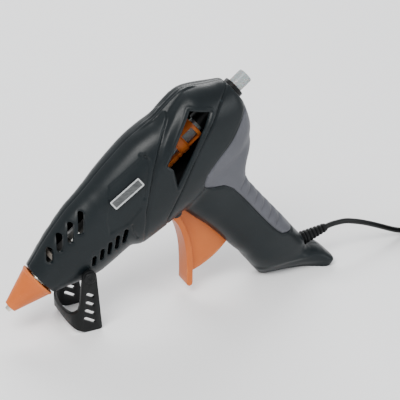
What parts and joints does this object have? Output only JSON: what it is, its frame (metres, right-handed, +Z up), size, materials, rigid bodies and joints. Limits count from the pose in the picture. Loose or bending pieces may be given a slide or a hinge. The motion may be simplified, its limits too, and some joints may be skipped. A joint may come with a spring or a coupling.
{
  "type": "glue gun",
  "caption": "Corded hot-melt glue gun on a slotted stirrup stand: pistol body with side window, trigger that drives a stick feeder, soft grip and a loaded glue stick.",
  "frame": {"origin": "on the table under the middle of the gun, the lead left out", "axes": "+Z up, nozzle towards -X, handle and heel towards +X, the gun's left side towards -Y"},
  "size_m": [0.471, 0.0767, 0.1719],
  "materials": {
    "casing": "fine matt grain",
    "soft_grip": "matt soft-touch",
    "orange": "satin",
    "black_plastic": "satin",
    "steel": "bright zinc",
    "brass": "turned",
    "alloy": "as cast",
    "ceramic": "unglazed ceramic",
    "red_silicone": "matt",
    "glue": "translucent",
    "label": "satin print"
  },
  "bodies": {
    "housing": {"badge_plate": "label", "chamber_holder_front": "ceramic", "chamber_holder_rear": "ceramic", "cord_coil": "black_plastic", "cord_inner": "black_plastic", "cord_lead": "black_plastic", "cord_tail": "black_plastic", "front_screw_1": "steel", "front_screw_2": "steel", "front_screw_3": "steel", "front_shell_left": "casing", "front_shell_right": "casing", "handle_screw_1": "steel", "handle_screw_2": "steel", "handle_screw_3": "steel", "handle_shell_left": "casing", "handle_shell_right": "casing", "heater_clip": "steel", "heater_element": "ceramic", "inlet_sleeve": "red_silicone", "melt_chamber": "alloy", "nozzle_sleeve": "orange", "nozzle_tip": "brass", "plug_body": "black_plastic", "plug_pin_left": "brass", "plug_pin_right": "brass", "return_spring": "steel", "soft_grip": "soft_grip", "stand_pivot_left": "black_plastic", "stand_pivot_right": "black_plastic", "stick_collar": "black_plastic", "strain_relief": "black_plastic", "trigger_pin": "steel"},
    "trigger": {"trigger": "orange", "drive_pin": "steel"},
    "feeder": {"feed_carriage": "orange", "jaw_pin": "steel"},
    "jaw": {"grip_jaw": "steel"},
    "stand": {"stand": "black_plastic"},
    "stick": {"glue_stick": "glue"}
  },
  "joints": [
    {"name": "trigger_pull", "type": "hinge", "parent": "housing", "child": "trigger", "pos_m": [-0.00368, 0, 0.07671], "axis": [0, -1, 0], "range_deg": [0, 22], "stiffness_Nm_per_rad": 0.8, "springref_deg": -17.19},
    {"name": "feed_slide", "type": "slide", "parent": "housing", "child": "feeder", "axis": [-0.7923, 0, -0.6101], "range_m": [0, 0.0078], "deforming": ["return_spring"]},
    {"name": "jaw_bite", "type": "hinge", "parent": "feeder", "child": "jaw", "pos_m": [-0.00353, 0, 0.13552], "axis": [0, -1, 0], "range_deg": [0, 2]},
    {"name": "stand_fold", "type": "hinge", "parent": "housing", "child": "stand", "pos_m": [-0.0751, 0, 0.0445], "axis": [0, -1, 0], "range_deg": [0, 100]},
    {"name": "stick_feed", "type": "slide", "parent": "housing", "child": "stick", "axis": [0.7923, 0, 0.6101], "range_m": [0, 0.13]}
  ],
  "couplings": [
    {"joint": "feed_slide", "follows": "trigger_pull", "m_per_rad": 0.01985},
    {"joint": "jaw_bite", "follows": "trigger_pull", "ratio": 0.08}
  ]
}
